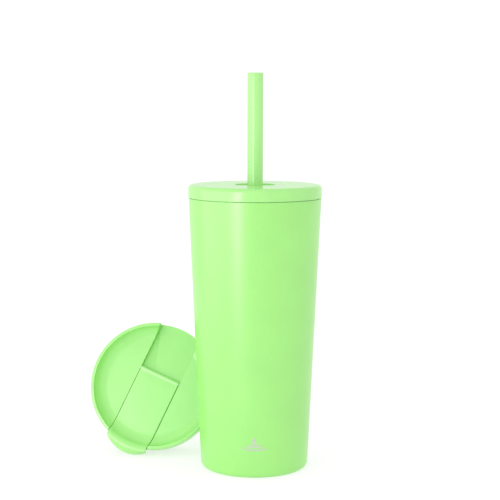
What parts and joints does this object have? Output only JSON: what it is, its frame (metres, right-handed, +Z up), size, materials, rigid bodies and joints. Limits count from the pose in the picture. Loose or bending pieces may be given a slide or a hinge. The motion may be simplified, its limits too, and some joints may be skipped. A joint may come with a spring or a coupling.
{
  "type": "insulated tumbler",
  "caption": "Tapered steel tumbler with a screw-in straw lid and straw, and a spare flip lid with a hinged tab leaning beside it.",
  "frame": {"origin": "on the cup's axis at the plane the foot ring stands on", "axes": "+Z up along the cup's axis; -Y is the front, towards a viewer; +X to the viewer's right"},
  "size_m": [0.1685, 0.1213, 0.2791],
  "materials": {
    "coated_steel": "satin powder coat, pale apple green",
    "steel": "brushed stainless steel",
    "bead_glass": "dark solder glass",
    "copper": "bright copper foil",
    "getter": "pressed grey metal powder",
    "lid_plastic": "satin moulded polypropylene, pale apple green",
    "plug_plastic": "moulded polypropylene, pale apple green",
    "tab_plastic": "satin moulded polypropylene, pale apple green",
    "silicone": "soft milky silicone",
    "straw_plastic": "glossy extruded polypropylene, pale apple green"
  },
  "bodies": {
    "cup": {"outer_shell": "coated_steel", "inner_liner": "steel", "vacuum_base": "steel", "sealing_bead": "bead_glass", "base_cover": "steel", "copper_foil": "copper", "getter_holder": "steel", "getter_pellet": "getter"},
    "lid_seal": {"straw_lid_seal": "silicone"},
    "straw_lid": {"straw_lid_cap": "lid_plastic", "straw_lid_plug": "plug_plastic"},
    "grommet": {"straw_grommet": "silicone"},
    "straw": {"straw": "straw_plastic"},
    "flip_lid": {"flip_lid_top": "lid_plastic", "flip_lid_plug": "plug_plastic", "flip_lid_seal": "silicone", "hinge_pin": "steel"},
    "flip_tab": {"flip_tab": "tab_plastic", "drink_stopper": "silicone", "vent_stopper": "silicone"}
  },
  "joints": [
    {"name": "lid_lift", "type": "slide", "parent": "cup", "child": "lid_seal", "axis": [0, 0, 1], "range_m": [0, 0.0201]},
    {"name": "lid_turn", "type": "hinge", "parent": "lid_seal", "child": "straw_lid", "pos_m": [0, 0, 0.1924], "axis": [0, 0, 1], "range_deg": [0, 1800]},
    {"name": "straw_spin", "type": "hinge", "parent": "straw_lid", "child": "grommet", "pos_m": [0, 0, 0.2], "axis": [0, 0, 1], "continuous": true},
    {"name": "straw_slide", "type": "slide", "parent": "grommet", "child": "straw", "axis": [0, 0, 1], "range_m": [0, 0.155]},
    {"name": "flip_lid_lift", "type": "slide", "parent": "cup", "child": "flip_lid", "axis": [-0.28, 0, 0.96], "range_m": [0, 0.12]},
    {"name": "flip_tab_hinge", "type": "hinge", "parent": "flip_lid", "child": "flip_tab", "pos_m": [-0.07049, 0.04312, 0.05511], "axis": [-0.9042, 0.1884, 0.3833], "range_deg": [0, 180]}
  ],
  "couplings": [
    {"joint": "lid_lift", "follows": "lid_turn", "m_per_rad": 0.00063662}
  ]
}
